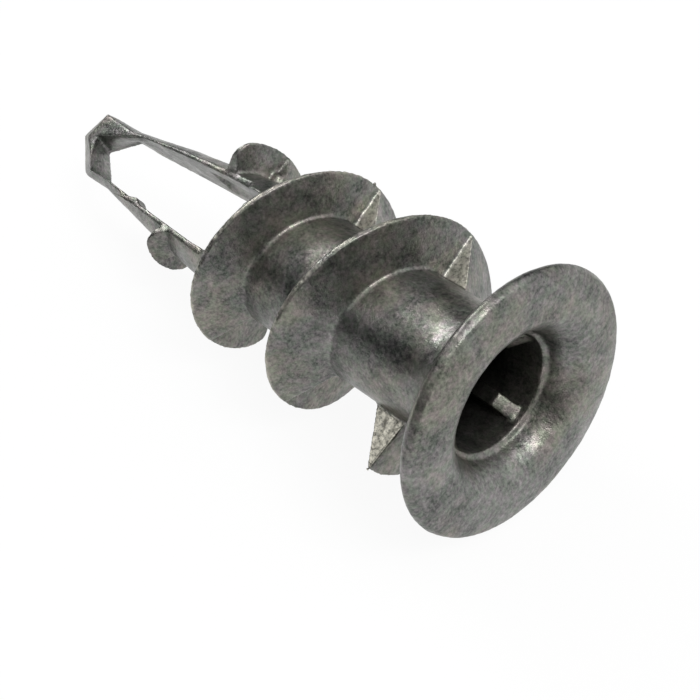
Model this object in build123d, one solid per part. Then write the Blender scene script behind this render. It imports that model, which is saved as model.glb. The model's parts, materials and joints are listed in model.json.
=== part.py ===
from build123d import *
from math import atan2, cos, degrees, radians, sin
import os

# Metal plasterboard anchor, one zinc die casting, lying on its side. Millimetres and degrees.
# It is drawn with its axis on X: the head's face is at X = 0 and the tip points along -X. The two mould
# halves part on the XY plane and pull along Z, so Z > 0 is the near half and Z < 0 the far half.
# A depth is measured back from the head's face, towards the tip.

# Head and shank
head_radius = 7.5
face_radius = 5.7
dome_end = (0.24, 7.3)
rim_depth = 0.55
rim_back_turn = (0.9, 7.38)
rim_back = (1.1, 7.0)
trim_flats = [(263.0, 7.38), (192.0, 7.42)]
flange_back_radius = 5.5
flange_back_depth = 1.5
shank_radius = 3.67
shank_start = 4.7

# Dished mouth, drive recess and screw bore
mouth_radius = 4.85
mouth_lip_radius = 4.1
mouth_lip_depth = 0.5
ledge_radius = 3.55
ledge_depth = 1.6
ledge_end = 1.65
recess_radius = 3.28
recess_neck_radius = 3.05
recess_end_radius = 2.85
recess_end = 9.7
bore_radius = 2.3
bore_start = 10.7
bore_end = 25.7
bore_point = 0.6
rib_count = 4
rib_width = 0.9
rib_reach = 2.2
rib_start = 1.9
rib_full = 3.0
rib_end = 10.3
rib_root = 3.38

# Thread: each half turn is a flat disc of triangular section, tilted one way in the near half and the other
# way in the far half. The order of the tilts makes the hand of the thread.
lead = 6.84
whole_half_turns = 4
fins = [(4, 1), (4, -1), (5, 1), (5, -1), (6, -1)]
first_half_centre = 7.1
thread_crest_half = 0.16
thread_flank = 0.31
thread_inner_radius = 2.8
crest_line = [(3.9, 6.85), (8.2, 6.58), (11.0, 6.55), (17.3, 6.2), (19.0, 6.1), (22.6, 5.25), (25.9, 4.15), (30.3, 2.6)]
fin_tip_flank = 0.12
fin_near_angle = 43
fin_far_angle = 50
fin_corner_round = 0.9

# Legs, window and drill tip
taper_start = 20.7
taper_middle = (28.0, 2.84)
taper_end = (33.2, 2.07)
length = 38.0
tip_radius = 2.03
window_start = 19.9
window_sides = [(22.8, 2.1), (26.7, 1.95), (29.7, 1.78), (32.0, 1.63)]
window_near_end = [(32.6, 1.4), (35.9, 0.33), (34.7, -1.7)]
window_far_end = [(34.3, 1.58), (36.0, 0.0), (34.3, -1.55)]
leg_flat_start = 19.9
leg_flat_lift = 3.72
leg_flat_full = (21.2, 2.55)
leg_flat_end = (38.0, 0.75)
nub_depth = 28.7
nub_inner = 1.6
nub_start = 27.8
nub_end = 30.6
nub_root = 2.2
nub_low = 0.9
nub_high = 1.9
window_slant_half = 0.72
lip_drop = 1.35
lip_corner = (1.95, 0.7)
relief_slope = 1.5

# Lying position: rolled onto a trim flat, then tipped until rim and thread both touch the ground
roll = 26.0
rest_tilt = 4.84

big = 60.0


def at(depth, radius):
    """A point of a turned profile."""
    return (-depth, radius)


def turned(edges):
    """Solid of revolution about the anchor's axis from a closed outline."""
    return revolve(make_face(edges), Axis.X)


def half_space(side):
    """Large block that holds the near half (side 1) or the far half (side -1) of the mould."""
    return Pos(-length / 2, 0, side * big / 2) * Box(2 * big, 2 * big, big)


def outer_form():
    """Head with a slightly domed face, trumpet neck, shank and tapering end, before any cuts."""
    rim = at(rim_depth, head_radius)
    back = at(flange_back_depth, flange_back_radius)
    neck = at(shank_start, shank_radius)
    taper = at(taper_start, shank_radius)
    edges = [
        Line(at(0, 0), at(0, face_radius)),
        TangentArc(at(0, face_radius), at(*dome_end), tangent=(0, 1)),
        Line(at(*dome_end), rim),
        ThreePointArc(rim, at(*rim_back_turn), at(*rim_back)),
        Line(at(*rim_back), back),
        TangentArc(neck, back, tangent=(1, 0)),
        Line(neck, taper),
        Line(taper, at(*taper_middle)),
        Line(at(*taper_middle), at(*taper_end)),
        Line(at(*taper_end), at(length + 1, tip_radius)),
        Line(at(length + 1, tip_radius), at(length + 1, 0)),
        Line(at(length + 1, 0), at(0, 0)),
    ]
    return turned(edges)


def trim_cuts():
    """Flats on the rim where the casting's gates were trimmed off. The anchor comes to rest on the first."""
    cuts = []
    for angle, distance in trim_flats:
        slab = Pos(0, distance + big / 2, 0) * Box(2 * shank_start, big, big)
        cuts.append(Rot(angle, 0, 0) * slab)
    return cuts


def bore():
    """Dished mouth, ledge, tapering drive recess and the screw bore behind it."""
    edges = [
        Line(at(-1, 0), at(-1, mouth_radius)),
        Line(at(-1, mouth_radius), at(0, mouth_radius)),
        ThreePointArc(
            at(0, mouth_radius),
            at(mouth_lip_depth, mouth_lip_radius),
            at(ledge_depth, ledge_radius),
        ),
        Line(at(ledge_depth, ledge_radius), at(ledge_end, recess_radius)),
        Line(at(ledge_end, recess_radius), at(shank_start, recess_neck_radius)),
        Line(at(shank_start, recess_neck_radius), at(recess_end, recess_end_radius)),
        Line(at(recess_end, recess_end_radius), at(bore_start, bore_radius)),
        Line(at(bore_start, bore_radius), at(bore_end, bore_radius)),
        Line(at(bore_end, bore_radius), at(bore_end + bore_point, 0)),
        Line(at(bore_end + bore_point, 0), at(-1, 0)),
    ]
    return turned(edges)


def drive_ribs():
    """Ribs inside the recess that a cross driver turns the anchor by."""
    side_view = Polyline(
        at(rib_start, rib_root),
        at(rib_full, rib_reach),
        at(rib_end, rib_reach),
        at(rib_end, recess_neck_radius),
        at(shank_start, rib_root),
        close=True,
    )
    rib = extrude(make_face(side_view), rib_width / 2, both=True)
    return [Rot(360 * i / rib_count, 0, 0) * rib for i in range(rib_count)]


def mould_side(index):
    """Which mould half forms a half turn: 1 for the near half, -1 for the far half."""
    return 1 if index % 2 else -1


def half_centre(index):
    """Depth of a half turn's middle."""
    return first_half_centre + index * lead / 2


def crossing_depth(index, leg):
    """Depth at which a half turn crosses the parting plane on the upper side (leg 1) or the lower (-1)."""
    return half_centre(index) - mould_side(index) * leg * lead / 4


def crest_radius(depth):
    """Radius of the thread's crest at a depth, along the straight pieces of crest_line."""
    for (d0, r0), (d1, r1) in zip(crest_line, crest_line[1:]):
        if depth <= d1:
            return r0 + (r1 - r0) * (depth - d0) / (d1 - d0)
    return crest_line[-1][1]


def crest_envelope():
    """Turned form that the thread's crest lies on: nearly parallel, then running in towards the tip."""
    first, last = crest_line[0][0], crest_line[-1][0]
    outline = Polyline(at(first, 0), *[at(*p) for p in crest_line], at(last, 0), close=True)
    return turned(outline.edges())


def half_turn(index, crest, tip_flank):
    """One half turn of the thread with its crest at a radius, cut off at the parting plane."""
    side = mould_side(index)
    tilt = degrees(atan2(lead / 4, crest))
    depth_below_crest = crest - thread_inner_radius
    apex = (0, crest + thread_crest_half / thread_flank)
    tip_corner = (-thread_crest_half - tip_flank * depth_below_crest, thread_inner_radius)
    head_corner = (thread_crest_half + thread_flank * depth_below_crest, thread_inner_radius)
    section = Polyline(tip_corner, apex, head_corner, close=True)
    disc = Rot(0, 0, -side * tilt) * turned(section.edges())
    return Pos(-half_centre(index), 0, 0) * disc & half_space(side)


def fin_outline(leg, crest):
    """Sector, seen along the axis, that a fin keeps of its half turns: its two outer corners are rounded."""
    near = radians(fin_near_angle)
    far = radians(fin_far_angle)
    near_corner = (leg * crest * cos(near), crest * sin(near))
    far_corner = (leg * crest * cos(far), -crest * sin(far))
    edges = [
        Line((0, 0), near_corner),
        ThreePointArc(near_corner, (leg * crest, 0), far_corner),
        Line(far_corner, (0, 0)),
    ]
    sector = make_face(edges)
    outer_corners = sector.vertices().sort_by(lambda vertex: -abs(vertex.X))[:2]
    return fillet(outer_corners, fin_corner_round)


def fin(index, leg):
    """The short piece of a half turn that stands on one leg."""
    crest = crest_radius(crossing_depth(index, leg))
    column = extrude(Plane.YZ * fin_outline(leg, crest), big, both=True)
    return half_turn(index, crest, fin_tip_flank) & column


def thread():
    """Half turns on the shank, which run round whole, then fins on the two legs."""
    envelope = crest_envelope()
    pieces = []
    for index in range(whole_half_turns):
        crest = crest_radius(half_centre(index))
        pieces.append(half_turn(index, crest, thread_flank) & envelope)
    for index, leg in fins:
        pieces.append(fin(index, leg))
    return pieces


def window_outline(end_points):
    """Closed outline of the opening between the legs, with the given points at the tip end."""
    upper = [at(d, w) for d, w in window_sides]
    lower = [at(d, -w) for d, w in reversed(window_sides)]
    start = [at(window_start, -window_sides[0][1]), at(window_start, window_sides[0][1])]
    return Polyline(*start, *upper, *[at(*p) for p in end_points], *lower, close=True)


def window():
    """Opening between the legs. Its pointed end differs in the two mould halves, joined by slanting faces."""
    near = make_face(Pos(0, 0, window_slant_half) * window_outline(window_near_end))
    far = make_face(Pos(0, 0, -window_slant_half) * window_outline(window_far_end))
    middle = loft([far, near], ruled=True)
    return middle + extrude(near, big, dir=(0, 0, 1)) + extrude(far, big, dir=(0, 0, -1))


def leg_flats():
    """Wedges cut from both faces of the tapering end, which give the legs flat sides along the window."""
    outline = Polyline(
        at(leg_flat_start, leg_flat_lift),
        at(*leg_flat_full),
        at(*leg_flat_end),
        at(leg_flat_end[0] + 1, leg_flat_end[1]),
        at(leg_flat_end[0] + 1, big),
        at(leg_flat_start, big),
        close=True,
    )
    wedge = extrude(Plane.XZ * make_face(outline), big, both=True)
    return wedge + Rot(180, 0, 0) * wedge


def nub():
    """Small thickening on the inner edge of one leg, in the near half only."""
    outline = Polyline(
        at(nub_start, -nub_root),
        at(nub_depth, -nub_inner),
        at(nub_end, -nub_root),
        close=True,
    )
    return Pos(0, 0, nub_low) * extrude(make_face(outline), nub_high - nub_low)


def point_cuts():
    """The split drill point: on each side of the axis two facets meet in a lip that runs out to a corner."""
    apex = Vector(-length, 0, 0)
    corner = Vector(-length + lip_drop, lip_corner[0], lip_corner[1])
    half = Pos(0, big / 2, 0) * Box(4 * big, big, big)
    cuts = []
    for back in (Vector(relief_slope, 0, -1), Vector(relief_slope, 0, 1)):
        normal = (corner - apex).cross(back).normalized()
        if normal.X > 0:
            normal = -normal
        beyond = Plane(origin=apex, z_dir=normal) * Pos(0, 0, big / 4) * Box(big, big, big / 2)
        cuts.append(beyond & half)
    return cuts + [Rot(180, 0, 0) * cut for cut in cuts]


def anchor():
    body = outer_form() - trim_cuts() - leg_flats()
    for piece in thread():
        body += piece
    body -= bore()
    body -= window()
    body += nub()
    for cut in point_cuts():
        body -= cut
    for rib in drive_ribs():
        body += rib
    return body


def laid_down(body):
    """Roll about the axis, lower the tip, then stand the lowest point on the ground below the middle."""
    posed = Rot(0, -rest_tilt, 0) * Rot(roll, 0, 0) * body
    box = posed.bounding_box()
    return Pos(-box.center().X, -box.center().Y, -box.min.Z) * posed


os.makedirs("parts", exist_ok=True)
export_step(laid_down(anchor()), "parts/anchor_body.step")
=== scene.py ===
import json
import math

import bpy
import numpy as np
from bpy.props import FloatProperty, FloatVectorProperty, IntProperty, PointerProperty
from mathutils import Euler, Matrix, Vector


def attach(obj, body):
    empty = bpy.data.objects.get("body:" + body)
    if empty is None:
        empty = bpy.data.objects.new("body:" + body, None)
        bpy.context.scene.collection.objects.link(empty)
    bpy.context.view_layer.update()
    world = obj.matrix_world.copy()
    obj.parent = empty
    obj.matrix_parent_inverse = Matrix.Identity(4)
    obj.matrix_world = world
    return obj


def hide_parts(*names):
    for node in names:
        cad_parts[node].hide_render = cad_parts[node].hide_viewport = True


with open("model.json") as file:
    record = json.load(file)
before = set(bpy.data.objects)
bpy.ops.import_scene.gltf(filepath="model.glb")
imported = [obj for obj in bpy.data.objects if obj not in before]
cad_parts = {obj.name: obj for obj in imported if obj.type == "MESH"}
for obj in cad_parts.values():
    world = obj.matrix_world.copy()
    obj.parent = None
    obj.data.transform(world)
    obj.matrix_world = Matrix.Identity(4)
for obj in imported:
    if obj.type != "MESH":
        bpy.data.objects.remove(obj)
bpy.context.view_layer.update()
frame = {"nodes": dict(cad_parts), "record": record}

bl_info = {
    "name": "Metal plasterboard anchor",
    "version": (1, 0, 0),
    "blender": (4, 5, 0),
    "location": "3D View > Sidebar > Anchor",
    "description": "Makes a die-cast zinc plasterboard anchor and a plain white studio around it",
    "category": "Add Mesh",
}

# How the anchor lies. Its own axes are X along the casting, and XY for the plane on which the mould
# halves part. They pull along Z.
ROLL = math.radians(26.0)
REST_TILT = math.radians(4.84)
MILLIMETRE = 0.001

# Depth behind the head's face of the point that the record gives for the drive recess, in millimetres
RECESS_MOUNT_DEPTH = 3.0

# Distance in metres within which the points of the loose CAD triangles are merged
MERGE_DISTANCE = 1e-7

# Depths behind the head's face and radii of the thread's crest, in millimetres
CREST_DEPTHS = (3.9, 8.2, 11.0, 17.3, 19.0, 22.6, 25.9, 30.3)
CREST_RADII = (6.85, 6.58, 6.55, 6.2, 6.1, 5.25, 4.15, 2.6)
THREAD_START = 4.2
THREAD_END = 20.5
FLIGHT_ROOT = 3.75

# The crest's wear starts and is full at these distances below its edge, in millimetres
CREST_WEAR_START = 0.16
CREST_WEAR_FULL = 0.05

# Radius and end of the bore's walls, the depths between which their painted shade grows, and how dark
# it gets
BORE_WALL = 3.45
BORE_END = 19.5
BORE_SHADE_START = 1.9
BORE_SHADE_FULL = 4.5
BORE_SHADE_SHARE = 0.85

# Torn steps on the parting plane: half their height, the room they leave below the crest, how flat
# a face is when it starts to count and counts fully, and how bright they are at two depths
TORN_HALF_HEIGHT = 0.3
TORN_CREST_ROOM = 0.15
TORN_FLATNESS = (0.6, 0.9)
TORN_DEPTHS = (6.5, 8.0)
TORN_BRIGHTNESS = (1.0, 0.5)

# Cast skin: rounds of smoothing, and the sizes in millimetres of its waves, grain, nibbles and
# torn lumps
SMOOTHING_ROUNDS = 9
SMOOTHING_FACTOR = 0.5
WAVE_SIZE = 1.9
GRAIN_SIZE = 0.32
NIBBLE_SIZE = 0.7
TORN_LUMP_SIZE = 0.45
WEIGHT_STEPS = 8

# A web closes the slit between the two halves of the upper fin. Its place is in the casting's own axes.
FIN_WEB = (-22.15, 3.8, 0.0)
FIN_WEB_RADIUS = 0.38
FIN_WEB_SEGMENTS = 24
FIN_WEB_RINGS = 12

# Tints that mottle the zinc, and the near-black painted shade in the bore
GREEN_GREY = (0.76, 0.86, 0.75, 1.0)
VIOLET_GREY = (0.96, 0.87, 0.93, 1.0)
WARM_GREY = (0.98, 0.94, 0.87, 1.0)
BORE_PAINTED_SHADE = (0.012, 0.012, 0.012, 1.0)
WHITE = (1.0, 1.0, 1.0, 1.0)
MATT = 0.9

# Sockets of a colour Mix node: its share, its two colours and its result
MIX_SHARE, MIX_FIRST, MIX_SECOND = 0, 6, 7
MIX_RESULT = 2


def axis_point(depth):
    """The point on the anchor's axis at a depth behind the head's face, in metres."""
    mounts = {mount["name"]: mount for mount in frame["record"]["mounts"]}
    recess = mounts["drive_recess"]
    towards_head = Vector(recess["axis"])
    return Vector(recess["pos_m"]) + towards_head * (RECESS_MOUNT_DEPTH - depth) * MILLIMETRE


def lying_turn():
    """The turn from the casting's own axes to the way it lies."""
    return Matrix.Rotation(-REST_TILT, 4, "Y") @ Matrix.Rotation(ROLL, 4, "X")


# Settings


class CastingSettings(bpy.types.PropertyGroup):
    skin_cell: FloatProperty(
        name="Skin cell", description="Edge of the cells that the cast skin is built from, in mm",
        default=0.085, min=0.08, max=0.4,
    )
    skin_triangles: IntProperty(
        name="Skin triangles", description="Triangles that the finished skin keeps",
        default=185000,
    )
    skin_waves: FloatProperty(
        name="Skin waves", description="Height of the slow waves in the cast skin, in mm",
        default=0.05,
    )
    skin_grain: FloatProperty(
        name="Skin grain", description="Height of the fine grain in the cast skin, in mm",
        default=0.02,
    )
    crest_nibble: FloatProperty(
        name="Crest nibble",
        description="How far the thin crest of the thread is eaten away, in mm", default=0.1,
    )
    broken_depth: FloatProperty(
        name="Broken depth",
        description="Roughness of the torn faces on the parting plane, in mm", default=0.1,
    )
    dark_zinc: FloatVectorProperty(
        name="Dark zinc", description="Colour of the darker patches", subtype="COLOR", size=4,
        default=(0.07, 0.075, 0.071, 1.0), min=0.0, max=1.0,
    )
    light_zinc: FloatVectorProperty(
        name="Light zinc", description="Colour of the clean casting", subtype="COLOR", size=4,
        default=(0.34, 0.338, 0.325, 1.0), min=0.0, max=1.0,
    )
    bare_zinc: FloatVectorProperty(
        name="Bare zinc", description="Colour where the metal is torn or rubbed",
        subtype="COLOR", size=4,
        default=(0.78, 0.75, 0.64, 1.0), min=0.0, max=1.0,
    )


class StudioSettings(bpy.types.PropertyGroup):
    floor_side: FloatProperty(
        name="Floor side", description="Side of the square floor", default=4.0, unit="LENGTH",
    )
    floor_colour: FloatVectorProperty(
        name="Floor colour", description="Pale colour of the floor", subtype="COLOR", size=4,
        default=(0.9, 0.9, 0.9, 1.0), min=0.0, max=1.0,
    )
    floor_glow: FloatProperty(
        name="Floor glow", description="Share of the floor's white that no shadow reaches",
        default=0.93, subtype="FACTOR", min=0.0, max=1.0,
    )
    sky_strength: FloatProperty(
        name="Sky strength", description="Brightness of the plain white sky", default=1.0, min=0.0,
    )
    screen_top: FloatProperty(
        name="Screen top",
        description="Angle that the dark screens reach up to, seen from the anchor, in degrees",
        default=38.0, min=0.0, max=80.0,
    )
    screen_colour: FloatVectorProperty(
        name="Screen colour", description="Dark colour of the screens", subtype="COLOR", size=4,
        default=(0.04, 0.042, 0.045, 1.0), min=0.0, max=1.0,
    )
    lamp_power: FloatProperty(
        name="Lamp power", description="Power of each lamp", default=0.34, unit="POWER",
    )


# Materials


class Finish:
    """A material's node tree, with one short call for each kind of node."""

    def __init__(self, name):
        self.material = bpy.data.materials.new(name)
        self.material.use_nodes = True
        self.tree = self.material.node_tree
        self.shader = self.tree.nodes["Principled BSDF"]
        self.place = self.node("ShaderNodeTexCoord").outputs["Object"]

    def node(self, kind, **settings):
        """Adds a node and sets its properties."""
        made = self.tree.nodes.new(kind)
        for name, value in settings.items():
            setattr(made, name, value)
        return made

    def link(self, source, target):
        self.tree.links.new(source, target)

    def noise(self, scale, detail=4.0, roughness=0.6, distortion=0.0):
        """Noise with a scale in cells per millimetre."""
        made = self.node("ShaderNodeTexNoise")
        made.inputs["Scale"].default_value = scale / MILLIMETRE
        made.inputs["Detail"].default_value = detail
        made.inputs["Roughness"].default_value = roughness
        made.inputs["Distortion"].default_value = distortion
        self.link(self.place, made.inputs["Vector"])
        return made.outputs["Fac"]

    def span(self, source, low, high, out_low=0.0, out_high=1.0):
        """A value's span low to high, stretched to another span and clamped."""
        made = self.node("ShaderNodeMapRange")
        made.inputs["From Min"].default_value = low
        made.inputs["From Max"].default_value = high
        made.inputs["To Min"].default_value = out_low
        made.inputs["To Max"].default_value = out_high
        self.link(source, made.inputs["Value"])
        return made.outputs["Result"]

    def combine(self, operation, first, second):
        """Two values added, multiplied or compared. Sums and products are clamped to 0 and 1."""
        clamped = operation in ("ADD", "MULTIPLY")
        made = self.node("ShaderNodeMath", operation=operation, use_clamp=clamped)
        for socket, value in zip(made.inputs, (first, second)):
            if isinstance(value, float):
                socket.default_value = value
            else:
                self.link(value, socket)
        return made.outputs["Value"]

    def blend(self, share, first, second, kind="MIX"):
        """Two colours blended, by a share of the second."""
        made = self.node("ShaderNodeMix", data_type="RGBA", blend_type=kind)
        for index, value in ((MIX_SHARE, share), (MIX_FIRST, first), (MIX_SECOND, second)):
            if isinstance(value, (float, tuple)):
                made.inputs[index].default_value = value
            else:
                self.link(value, made.inputs[index])
        return made.outputs[MIX_RESULT]

    def mask(self, name):
        """A mask that is stored in the casting's mesh."""
        return self.node("ShaderNodeAttribute", attribute_name=name).outputs["Fac"]

    def bumps(self, *layers):
        """Bumps of (height source, strength, height in mm), each on top of the last."""
        normal = None
        for height, strength, distance in layers:
            made = self.node("ShaderNodeBump")
            made.inputs["Strength"].default_value = strength
            made.inputs["Distance"].default_value = distance * MILLIMETRE
            self.link(height, made.inputs["Height"])
            if normal:
                self.link(normal, made.inputs["Normal"])
            normal = made.outputs["Normal"]
        self.link(normal, self.shader.inputs["Normal"])


def cast_zinc_finish(settings):
    """Raw die-cast zinc: mottled grey with a grainy sheen, bare and bright on crests and torn faces.
    The bore gets painted shade.
    """
    finish = Finish("cast_zinc")
    dark = tuple(settings.dark_zinc)
    light = tuple(settings.light_zinc)
    bare = tuple(settings.bare_zinc)
    clouds = finish.noise(0.55, detail=5.0, roughness=0.62, distortion=0.4)
    grain = finish.noise(5.0, detail=3.0, roughness=0.7)
    flecks = finish.noise(14.0, detail=2.0)
    stains = finish.noise(0.9, roughness=0.7, distortion=1.2)
    half_clouds = finish.combine("MULTIPLY", clouds, 0.5)
    half_grain = finish.combine("MULTIPLY", grain, 0.5)
    mottle = finish.combine("ADD", half_clouds, half_grain)
    zinc = finish.blend(finish.span(mottle, 0.36, 0.64), dark, light)
    hue = finish.span(finish.noise(2.2, detail=3.0), 0.4, 0.6)
    tint = finish.blend(hue, GREEN_GREY, VIOLET_GREY)
    zinc = finish.blend(0.75, zinc, tint, "MULTIPLY")
    zinc = finish.blend(finish.span(stains, 0.6, 0.78, out_high=0.6), zinc, dark)
    warmth = finish.span(finish.noise(0.28, detail=3.0), 0.42, 0.6)
    zinc = finish.blend(warmth, zinc, WARM_GREY, "MULTIPLY")
    crest = finish.mask("crest")
    wear = finish.span(finish.noise(2.6, detail=3.0, roughness=0.7), 0.36, 0.6)
    worn = finish.combine("MULTIPLY", crest, wear)
    steps = finish.mask("torn")
    torn = finish.combine("MULTIPLY", steps, finish.span(grain, 0.36, 0.56, out_low=0.3))
    bright = finish.combine("MAXIMUM", worn, torn)
    zinc = finish.blend(bright, zinc, bare)
    # Painted shade: the bore's walls are blended towards near black, more the deeper they lie.
    zinc = finish.blend(finish.mask("bore"), zinc, BORE_PAINTED_SHADE)
    finish.link(zinc, finish.shader.inputs["Base Color"])
    finish.shader.inputs["Metallic"].default_value = 0.9
    rough = finish.span(finish.noise(1.3), 0.3, 0.7, out_low=0.28, out_high=0.46)
    finish.link(rough, finish.shader.inputs["Roughness"])
    finish.bumps((clouds, 0.35, 0.12), (grain, 0.5, 0.03), (flecks, 0.8, 0.014))
    return finish.material


def floor_finish(settings):
    """Matt white floor that stays white behind the anchor and keeps a faint shadow."""
    finish = Finish("studio_floor")
    speckle = finish.span(finish.noise(0.01, detail=3.0, roughness=0.5), 0.3, 0.7, out_low=0.97)
    colour = finish.blend(1.0, tuple(settings.floor_colour), speckle, "MULTIPLY")
    finish.link(colour, finish.shader.inputs["Base Color"])
    finish.shader.inputs["Roughness"].default_value = MATT
    finish.shader.inputs["Specular IOR Level"].default_value = 0.0
    glow = finish.node("ShaderNodeEmission")
    glow.inputs["Color"].default_value = WHITE
    ray = finish.node("ShaderNodeLightPath")
    seen = finish.combine("ADD", ray.outputs["Is Camera Ray"], ray.outputs["Is Glossy Ray"])
    seen = finish.combine("ADD", seen, ray.outputs["Is Transmission Ray"])
    share = finish.combine("MULTIPLY", seen, float(settings.floor_glow))
    both = finish.node("ShaderNodeMixShader")
    finish.link(share, both.inputs["Fac"])
    finish.link(finish.shader.outputs["BSDF"], both.inputs[1])
    finish.link(glow.outputs["Emission"], both.inputs[2])
    output = finish.tree.nodes["Material Output"]
    finish.link(both.outputs["Shader"], output.inputs["Surface"])
    return finish.material


# Making the casting


def take_only(thing):
    """Makes one object the only selected and active one."""
    bpy.ops.object.select_all(action="DESELECT")
    thing.select_set(True)
    bpy.context.view_layer.objects.active = thing


def copy_of_node(name, new_name):
    """A merged copy of a CAD node's mesh, scaled up so that a unit is a millimetre."""
    source = frame["nodes"][name]
    take_only(source)
    bpy.ops.object.duplicate()
    piece = bpy.context.object
    piece.name = new_name
    piece.parent = None
    for key in [key for key in piece.keys() if key.startswith("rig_")]:
        del piece[key]
    piece.data.materials.clear()
    take_only(piece)
    bpy.ops.object.mode_set(mode="EDIT")
    bpy.ops.mesh.select_all(action="SELECT")
    bpy.ops.mesh.remove_doubles(threshold=MERGE_DISTANCE)
    bpy.ops.object.mode_set(mode="OBJECT")
    rescale(piece, 1.0 / MILLIMETRE)
    return piece


def rescale(piece, factor):
    """Scales a piece about the origin and applies the scale to its mesh."""
    take_only(piece)
    piece.scale = (factor,) * 3
    bpy.ops.object.transform_apply(location=False, rotation=False, scale=True)


def apply_modifier(piece, kind, **settings):
    """Adds a modifier, sets it and applies it."""
    take_only(piece)
    bpy.ops.object.modifier_add(type=kind)
    modifier = piece.modifiers[-1]
    for name, value in settings.items():
        setattr(modifier, name, value)
    bpy.ops.object.modifier_apply(modifier=modifier.name)


def own_coordinates(piece):
    """Depths, radii and heights off the parting plane of a millimetre-scaled mesh's points."""
    points = np.empty(len(piece.data.vertices) * 3)
    piece.data.vertices.foreach_get("co", points)
    points = points.reshape(-1, 3)
    origin = np.array(axis_point(0.0)) / MILLIMETRE
    turn = np.array(lying_turn().to_3x3())
    own = (points - origin) @ turn
    return -own[:, 0], np.hypot(own[:, 1], own[:, 2]), own[:, 2]


def fade(values, low, high):
    """0 below low, 1 above high and a straight run between."""
    return np.clip((values - low) / (high - low), 0.0, 1.0)


def crest_mask(piece):
    """1 on the thread's crest, fading to 0 just below it."""
    depth, radius, _ = own_coordinates(piece)
    crest = np.interp(depth, CREST_DEPTHS, CREST_RADII)
    on_thread = (depth > THREAD_START) & (depth < THREAD_END)
    wear = fade(radius, crest - CREST_WEAR_START, crest - CREST_WEAR_FULL)
    return np.where(on_thread, wear, 0.0)


def bore_shade_mask(piece):
    """The share of painted shade on the bore's walls, which grows with depth."""
    depth, radius, _ = own_coordinates(piece)
    inside = (radius < BORE_WALL) & (depth < BORE_END)
    return np.where(inside, fade(depth, BORE_SHADE_START, BORE_SHADE_FULL) * BORE_SHADE_SHARE, 0.0)


def torn_mask(piece):
    """Up to 1 on the flat steps where a half turn stops at the parting plane, and less further back."""
    depth, radius, height = own_coordinates(piece)
    normals = np.empty(len(piece.data.vertices) * 3)
    piece.data.vertices.foreach_get("normal", normals)
    pull = np.array(lying_turn().to_3x3()) @ np.array((0.0, 0.0, 1.0))
    facing = np.abs(normals.reshape(-1, 3) @ pull)
    crest = np.interp(depth, CREST_DEPTHS, CREST_RADII)
    on_step = (np.abs(height) < TORN_HALF_HEIGHT) & (radius > FLIGHT_ROOT)
    on_step &= radius < crest - TORN_CREST_ROOM
    on_step &= (depth > THREAD_START) & (depth < THREAD_END)
    brightness = np.interp(depth, TORN_DEPTHS, TORN_BRIGHTNESS)
    return np.where(on_step, fade(facing, *TORN_FLATNESS) * brightness, 0.0)


def store_group(piece, name, mask):
    """Writes a mask into a vertex group, in a few steps of weight."""
    group = piece.vertex_groups.new(name=name)
    steps = np.round(mask * WEIGHT_STEPS).astype(int)
    for step in range(1, WEIGHT_STEPS + 1):
        group.add(np.nonzero(steps == step)[0].tolist(), step / WEIGHT_STEPS, "REPLACE")


def store_attribute(piece, name, mask):
    """Writes a mask into an attribute that the material reads."""
    attribute = piece.data.attributes.new(name, "FLOAT", "POINT")
    attribute.data.foreach_set("value", mask.astype(np.float32))


def roughen(piece, kind, size, height, group="", **texture_settings):
    """Sinks a skin by up to a height where a procedural texture is dark. Nothing moves outwards."""
    texture = bpy.data.textures.new(f"{piece.name}_{kind.lower()}_{size}", type=kind)
    texture.noise_scale = size
    for name, value in texture_settings.items():
        setattr(texture, name, value)
    apply_modifier(
        piece, "DISPLACE", texture=texture, texture_coords="LOCAL", strength=height,
        mid_level=1.0, vertex_group=group,
    )


def add_fin_web(piece):
    """Joins a small lump of metal to the root of the upper fin, ready to be fused with it."""
    place = axis_point(0.0) / MILLIMETRE + lying_turn().to_3x3() @ Vector(FIN_WEB)
    bpy.ops.mesh.primitive_uv_sphere_add(
        segments=FIN_WEB_SEGMENTS, ring_count=FIN_WEB_RINGS, radius=FIN_WEB_RADIUS, location=place,
    )
    bpy.ops.object.transform_apply(location=True, rotation=False, scale=False)
    web = bpy.context.object
    take_only(piece)
    web.select_set(True)
    bpy.ops.object.join()


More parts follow.
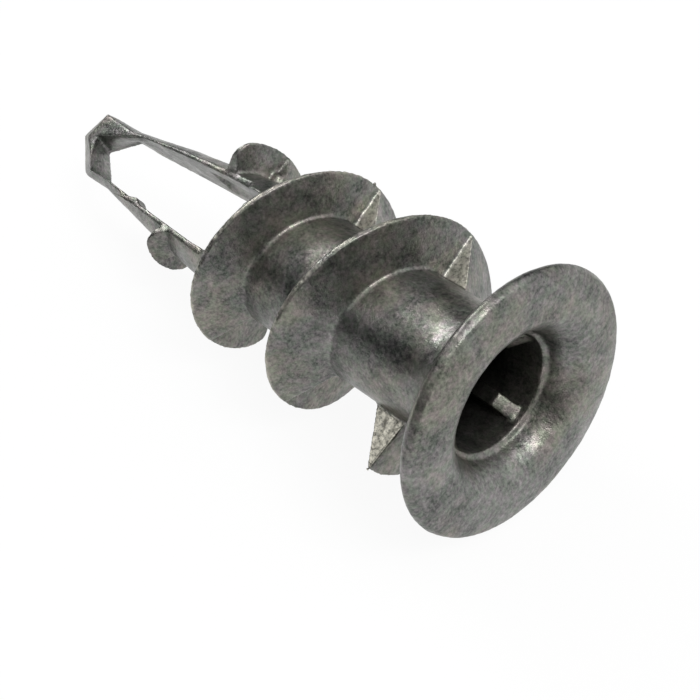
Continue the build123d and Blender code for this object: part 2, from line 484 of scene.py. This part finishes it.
class ANCHOR_OT_add_casting(bpy.types.Operator):
    """Adds the whole casting with its cast skin, nibbled crests and torn parting steps"""

    bl_idname = "anchor.add_casting"
    bl_label = "Add casting"

    def execute(self, context):
        settings = context.scene.anchor_casting
        piece = copy_of_node("anchor_body", "anchor_casting")
        add_fin_web(piece)
        apply_modifier(
            piece, "REMESH", mode="VOXEL", voxel_size=settings.skin_cell, use_smooth_shade=True,
        )
        apply_modifier(piece, "SMOOTH", factor=SMOOTHING_FACTOR, iterations=SMOOTHING_ROUNDS)
        store_group(piece, "crest", crest_mask(piece))
        store_group(piece, "torn", torn_mask(piece))
        roughen(piece, "CLOUDS", WAVE_SIZE, settings.skin_waves, noise_depth=2)
        roughen(piece, "CLOUDS", GRAIN_SIZE, settings.skin_grain, noise_depth=1)
        hard = {"noise_depth": 2, "noise_type": "HARD_NOISE"}
        roughen(piece, "CLOUDS", NIBBLE_SIZE, settings.crest_nibble, "crest", **hard)
        roughen(piece, "CLOUDS", TORN_LUMP_SIZE, settings.broken_depth, "torn", **hard)
        count = len(piece.data.polygons) * 2
        ratio = min(1.0, settings.skin_triangles / count)
        apply_modifier(piece, "DECIMATE", decimate_type="COLLAPSE", ratio=ratio)
        piece.vertex_groups.clear()
        store_attribute(piece, "crest", crest_mask(piece))
        store_attribute(piece, "torn", torn_mask(piece))
        store_attribute(piece, "bore", bore_shade_mask(piece))
        rescale(piece, MILLIMETRE)
        take_only(piece)
        bpy.ops.object.shade_smooth()
        piece.data.materials.append(cast_zinc_finish(settings))
        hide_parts("anchor_body")
        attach(piece, "root")
        return {"FINISHED"}


# Camera and studio

# The camera's place in metres, its turn in degrees, and its lens and sensor in millimetres
CAMERA_PLACE = (0.05113965, -0.03375057, 0.0637563)
CAMERA_TURN = (42.326568, 5.851138, 47.116754)
CAMERA_LENS = 77.142857
CAMERA_SENSOR = 36.0
NEAREST_SEEN = 0.001
FURTHEST_SEEN = 20.0

# Azimuth and elevation of the lamps in degrees, seen from the anchor, and their side and distance
TIP_SIDE_LAMP = (172.0, 33.0)
HEAD_SIDE_LAMP = (5.0, 52.0)
LAMP_SIDE = 0.1
LAMP_DISTANCE = 0.3
ANCHOR_MIDDLE = 0.007

# Round wall of dark screens: its radius in metres, its folds, and the middle and half width of
# its gap in degrees
SCREEN_RADIUS = 0.6
SCREEN_FOLDS = 72
GAP_AZIMUTH = 40.0
GAP_HALF_ANGLE = 55.0


def add_camera():
    """The camera that looks down on the anchor from the head's side."""
    turn = [math.radians(angle) for angle in CAMERA_TURN]
    bpy.ops.object.camera_add(location=CAMERA_PLACE, rotation=turn)
    camera = bpy.context.object
    camera.name = "camera"
    camera.data.lens = CAMERA_LENS
    camera.data.sensor_width = CAMERA_SENSOR
    camera.data.clip_start = NEAREST_SEEN
    camera.data.clip_end = FURTHEST_SEEN
    bpy.context.scene.camera = camera


def add_lamp(name, azimuth, elevation, power):
    """A square soft lamp in a direction from the middle of the anchor, aimed at it and out of sight."""
    away = Vector((LAMP_DISTANCE, 0.0, 0.0))
    away.rotate(Euler((0.0, -math.radians(elevation), math.radians(azimuth))))
    place = away + Vector((0.0, 0.0, ANCHOR_MIDDLE))
    turn = away.to_track_quat("Z", "Y").to_euler()
    bpy.ops.object.light_add(type="AREA", location=place, rotation=turn)
    lamp = bpy.context.object
    lamp.name = name
    lamp.visible_camera = False
    lamp.data.size = LAMP_SIDE
    lamp.data.energy = power


def studio_sky(strength):
    """A plain white sky."""
    world = bpy.data.worlds.new("studio_sky")
    world.use_nodes = True
    background = world.node_tree.nodes["Background"]
    background.inputs["Color"].default_value = WHITE
    background.inputs["Strength"].default_value = strength
    return world


def add_screens(settings):
    """Dark screens round the table, with a gap on one side, that shade the metal out of sight."""
    height = SCREEN_RADIUS * math.tan(math.radians(settings.screen_top))
    bpy.ops.mesh.primitive_cylinder_add(
        vertices=SCREEN_FOLDS, radius=SCREEN_RADIUS, depth=height, end_fill_type="NOTHING",
        location=(0.0, 0.0, height / 2),
    )
    screens = bpy.context.object
    screens.name = "studio_screens"
    azimuth = math.radians(GAP_AZIMUTH)
    gap = Vector((math.cos(azimuth), math.sin(azimuth), 0.0))
    bpy.ops.object.mode_set(mode="EDIT")
    bpy.ops.mesh.select_all(action="DESELECT")
    bpy.ops.object.mode_set(mode="OBJECT")
    for face in screens.data.polygons:
        face.select = face.normal.angle(gap) < math.radians(GAP_HALF_ANGLE)
    bpy.ops.object.mode_set(mode="EDIT")
    bpy.ops.mesh.delete(type="FACE")
    bpy.ops.object.mode_set(mode="OBJECT")
    finish = Finish("screen_cloth")
    finish.shader.inputs["Base Color"].default_value = tuple(settings.screen_colour)
    finish.shader.inputs["Roughness"].default_value = MATT
    finish.shader.inputs["Specular IOR Level"].default_value = 0.0
    screens.data.materials.append(finish.material)
    screens.visible_camera = False


class ANCHOR_OT_add_studio(bpy.types.Operator):
    """Adds the white floor, the sky, the dark screens, the soft lamps and the camera"""

    bl_idname = "anchor.add_studio"
    bl_label = "Add studio"

    def execute(self, context):
        settings = context.scene.anchor_studio
        bpy.ops.mesh.primitive_plane_add(size=settings.floor_side, location=(0.0, 0.0, 0.0))
        floor = context.object
        floor.name = "studio_floor"
        floor.data.materials.append(floor_finish(settings))
        context.scene.world = studio_sky(settings.sky_strength)
        add_screens(settings)
        add_lamp("tip_side_lamp", *TIP_SIDE_LAMP, settings.lamp_power)
        add_lamp("head_side_lamp", *HEAD_SIDE_LAMP, settings.lamp_power)
        add_camera()
        context.scene.view_settings.view_transform = "Standard"
        return {"FINISHED"}


class VIEW3D_PT_anchor(bpy.types.Panel):
    """Lists the settings and the steps that make the anchor"""

    bl_label = "Plasterboard anchor"
    bl_space_type = "VIEW_3D"
    bl_region_type = "UI"
    bl_category = "Anchor"

    def draw(self, context):
        for settings in (context.scene.anchor_casting, context.scene.anchor_studio):
            column = self.layout.column()
            for name in settings.__annotations__:
                column.prop(settings, name)
        self.layout.operator("anchor.add_casting")
        self.layout.operator("anchor.add_studio")


CLASSES = (
    CastingSettings, StudioSettings, ANCHOR_OT_add_casting, ANCHOR_OT_add_studio, VIEW3D_PT_anchor,
)


def register():
    for made in CLASSES:
        bpy.utils.register_class(made)
    bpy.types.Scene.anchor_casting = PointerProperty(type=CastingSettings)
    bpy.types.Scene.anchor_studio = PointerProperty(type=StudioSettings)


def unregister():
    del bpy.types.Scene.anchor_studio
    del bpy.types.Scene.anchor_casting
    for made in reversed(CLASSES):
        bpy.utils.unregister_class(made)


def main():
    register()
    bpy.ops.anchor.add_casting()
    bpy.ops.anchor.add_studio()


if __name__ == "__main__":
    main()
